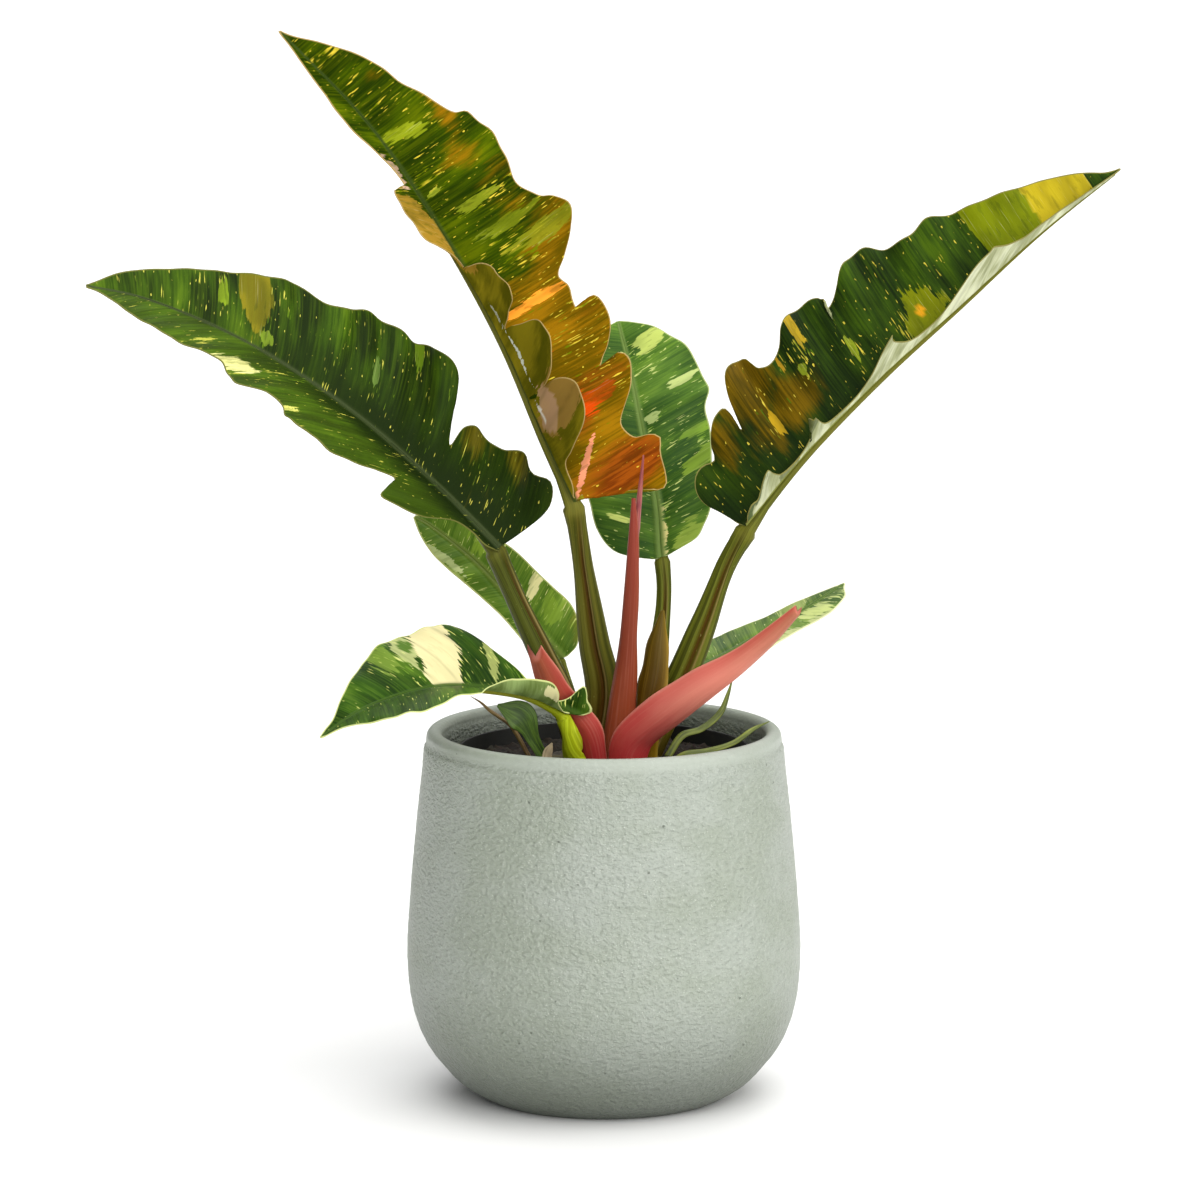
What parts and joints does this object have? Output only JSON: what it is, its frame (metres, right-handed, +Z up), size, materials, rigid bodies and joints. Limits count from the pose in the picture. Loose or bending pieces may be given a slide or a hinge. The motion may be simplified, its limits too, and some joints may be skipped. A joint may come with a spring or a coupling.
{
  "type": "potted philodendron",
  "caption": "Broad-leaved house plant with lobed variegated leaves on upright stalks, growing in a nursery pot inside a round-bellied ceramic pot.",
  "frame": {"origin": "centre of the outer pot's flat foot", "axes": "+Z up along the pot's axis, -Y towards the side the leaves face"},
  "size_m": [0.4194, 0.1941, 0.4336],
  "materials": {
    "pot": "pale sage-green stoneware, satin, with a fine hammered grain",
    "nursery": "thin black moulded plastic",
    "soil": "dark peaty potting mix",
    "crown": "scarred green-brown rootstock",
    "stalk": "smooth olive-green leaf stalk with darker grooves",
    "leaf_left": "dark green leaf with pale yellow dashes, satin",
    "leaf_top": "green leaf flushing to orange-brown at its base, with yellow dashes, satin",
    "leaf_right": "dark green leaf with lime and yellow patches, pale green below",
    "leaf_back": "mid green leaf with cream patches, satin",
    "leaf_rear_left": "mid green leaf with cream patches, satin",
    "leaf_low_left": "green leaf with a large cream patch, satin",
    "leaf_low_right": "green leaf with a cream edge, satin",
    "sheath_pink": "coral-pink papery sheath, satin",
    "sheath_olive": "olive-gold papery sheath, satin",
    "new_leaf": "dark red rolled leaf, satin",
    "green_strap": "yellow-green strap, satin",
    "dry_scale": "dry straw-coloured scale",
    "root": "thin brown root"
  },
  "bodies": {
    "root": {"outer_pot": "pot", "nursery_pot": "nursery", "soil": "soil", "crown": "crown", "blade_left": "leaf_left", "stalk_left": "stalk", "blade_top": "leaf_top", "stalk_top": "stalk", "blade_right": "leaf_right", "stalk_right": "stalk", "blade_back": "leaf_back", "stalk_back": "stalk", "blade_rear_left": "leaf_rear_left", "stalk_rear_left": "stalk", "blade_low_left": "leaf_low_left", "stalk_low_left": "stalk", "blade_low_right": "leaf_low_right", "stalk_low_right": "stalk", "cataphyll_centre": "sheath_pink", "cataphyll_right": "sheath_pink", "cataphyll_left": "sheath_pink", "cataphyll_olive": "sheath_olive", "new_leaf_roll": "new_leaf", "bract_green": "green_strap", "dry_scale": "dry_scale", "strap_kinked": "green_strap", "strap_low": "green_strap", "root_strand": "root"}
  },
  "joints": []
}
